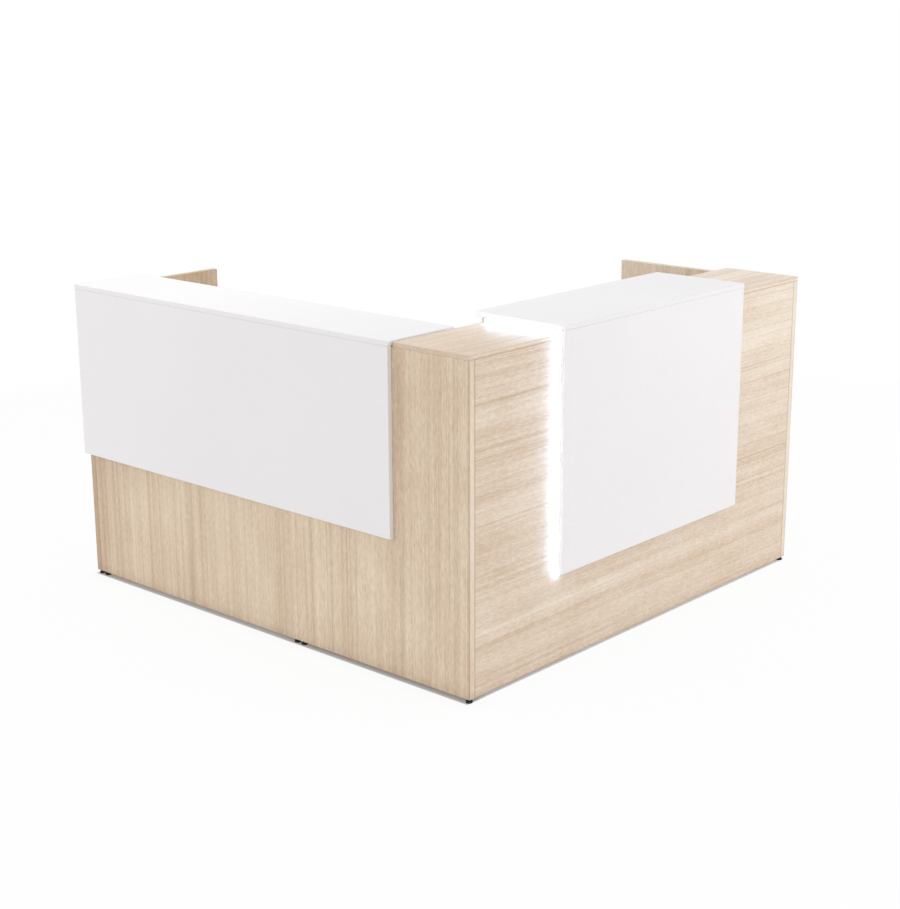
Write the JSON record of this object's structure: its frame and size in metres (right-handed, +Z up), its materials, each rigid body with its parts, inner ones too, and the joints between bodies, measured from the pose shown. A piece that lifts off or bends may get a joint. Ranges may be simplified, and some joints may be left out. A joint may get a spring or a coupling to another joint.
{
  "type": "reception desk",
  "caption": "L-shaped wood-grain reception counter with raised white fascias and tops, a lit stand-off gap, inner worktops and levelling feet.",
  "frame": {"origin": "on the floor, under the middle of the whole desk's box", "axes": "+Z up; the left wing's front faces -Y, the right wing's front faces +X, and the staff side is towards -X and +Y"},
  "size_m": [1.8596, 1.8014, 1.1],
  "materials": {
    "wood_laminate": "pale wood-grain laminate, satin",
    "white_board": "white lacquered board, satin with a fine texture",
    "plain_wood": "plain softwood, unfinished",
    "bracket_steel": "zinc-plated steel",
    "channel_aluminium": "anodised, satin",
    "lit_opal": "opal cover, lit cool white",
    "white_plastic": "moulded white plastic",
    "grey_plastic": "moulded grey plastic",
    "black_plastic": "moulded black plastic"
  },
  "bodies": {
    "desk": {"left_front_panel": "wood_laminate", "corner_front_panel": "wood_laminate", "right_front_panel": "wood_laminate", "left_end_panel": "wood_laminate", "right_end_panel": "wood_laminate", "counter_cap": "wood_laminate", "middle_gable": "wood_laminate", "left_upper_gable": "wood_laminate", "corner_upper_gable": "wood_laminate", "right_upper_gable": "wood_laminate", "left_worktop": "wood_laminate", "right_worktop": "wood_laminate", "left_counter_top": "white_board", "left_fascia": "white_board", "right_counter_top": "white_board", "right_fascia": "white_board", "left_top_packer_front": "plain_wood", "left_top_packer_end": "plain_wood", "right_fascia_batten_upper": "plain_wood", "right_fascia_batten_lower": "plain_wood", "right_top_batten_front": "plain_wood", "right_top_batten_back": "plain_wood", "left_front_cleat": "plain_wood", "left_end_cleat": "plain_wood", "right_front_cleat": "plain_wood", "right_end_cleat": "plain_wood", "left_top_cleat": "plain_wood", "corner_bracket_lower": "bracket_steel", "corner_bracket_upper": "bracket_steel", "left_end_bracket": "bracket_steel", "right_end_bracket": "bracket_steel", "light_channel_front": "channel_aluminium", "light_channel_top": "channel_aluminium", "light_tape_front": "white_plastic", "light_tape_top": "white_plastic", "light_diffuser_front": "lit_opal", "light_diffuser_top": "lit_opal", "light_end_cap_front": "lit_opal", "light_end_cap_top": "white_plastic", "light_driver": "white_plastic", "mains_gland": "black_plastic", "driver_lead": "white_plastic", "switch_lead": "white_plastic", "switch_housing": "white_plastic", "left_grommet_ring": "grey_plastic", "right_grommet_ring": "grey_plastic"},
    "rocker": {"switch_rocker": "black_plastic"},
    "left_grommet_turn": {"left_grommet_cap": "grey_plastic"},
    "right_grommet_turn": {"right_grommet_cap": "grey_plastic"},
    "foot_left_end_front": {"foot_left_end_front": "black_plastic"},
    "foot_left_front_end": {"foot_left_front_end": "black_plastic"},
    "foot_left_front_joint": {"foot_left_front_joint": "black_plastic"},
    "foot_corner_front_joint": {"foot_corner_front_joint": "black_plastic"},
    "foot_corner_front": {"foot_corner_front": "black_plastic"},
    "foot_right_end_front": {"foot_right_end_front": "black_plastic"},
    "foot_left_end_back": {"foot_left_end_back": "black_plastic"},
    "foot_gable_back": {"foot_gable_back": "black_plastic"},
    "foot_right_end_back": {"foot_right_end_back": "black_plastic"}
  },
  "joints": [
    {"name": "rocker_tip", "type": "hinge", "parent": "desk", "child": "rocker", "pos_m": [0.84845, -0.40235, 1.0027], "axis": [0, 0, 1], "range_deg": [-16, 0]},
    {"name": "left_grommet_spin", "type": "hinge", "parent": "desk", "child": "left_grommet_turn", "pos_m": [-0.3696, -0.53435, 0.735], "axis": [0, 0, 1], "continuous": true},
    {"name": "right_grommet_spin", "type": "hinge", "parent": "desk", "child": "right_grommet_turn", "pos_m": [0.52775, 0.4405, 0.735], "axis": [0, 0, 1], "continuous": true},
    {"name": "level_left_end_front", "type": "slide", "parent": "desk", "child": "foot_left_end_front", "axis": [0, 0, 1], "range_m": [-0.01, 0.0007]},
    {"name": "level_left_front_end", "type": "slide", "parent": "desk", "child": "foot_left_front_end", "axis": [0, 0, 1], "range_m": [-0.01, 0.0007]},
    {"name": "level_left_front_joint", "type": "slide", "parent": "desk", "child": "foot_left_front_joint", "axis": [0, 0, 1], "range_m": [-0.01, 0.0007]},
    {"name": "level_corner_front_joint", "type": "slide", "parent": "desk", "child": "foot_corner_front_joint", "axis": [0, 0, 1], "range_m": [-0.01, 0.0007]},
    {"name": "level_corner_front", "type": "slide", "parent": "desk", "child": "foot_corner_front", "axis": [0, 0, 1], "range_m": [-0.01, 0.0007]},
    {"name": "level_right_end_front", "type": "slide", "parent": "desk", "child": "foot_right_end_front", "axis": [0, 0, 1], "range_m": [-0.01, 0.0007]},
    {"name": "level_left_end_back", "type": "slide", "parent": "desk", "child": "foot_left_end_back", "axis": [0, 0, 1], "range_m": [-0.01, 0.0007]},
    {"name": "level_gable_back", "type": "slide", "parent": "desk", "child": "foot_gable_back", "axis": [0, 0, 1], "range_m": [-0.01, 0.0007]},
    {"name": "level_right_end_back", "type": "slide", "parent": "desk", "child": "foot_right_end_back", "axis": [0, 0, 1], "range_m": [-0.01, 0.0007]}
  ]
}
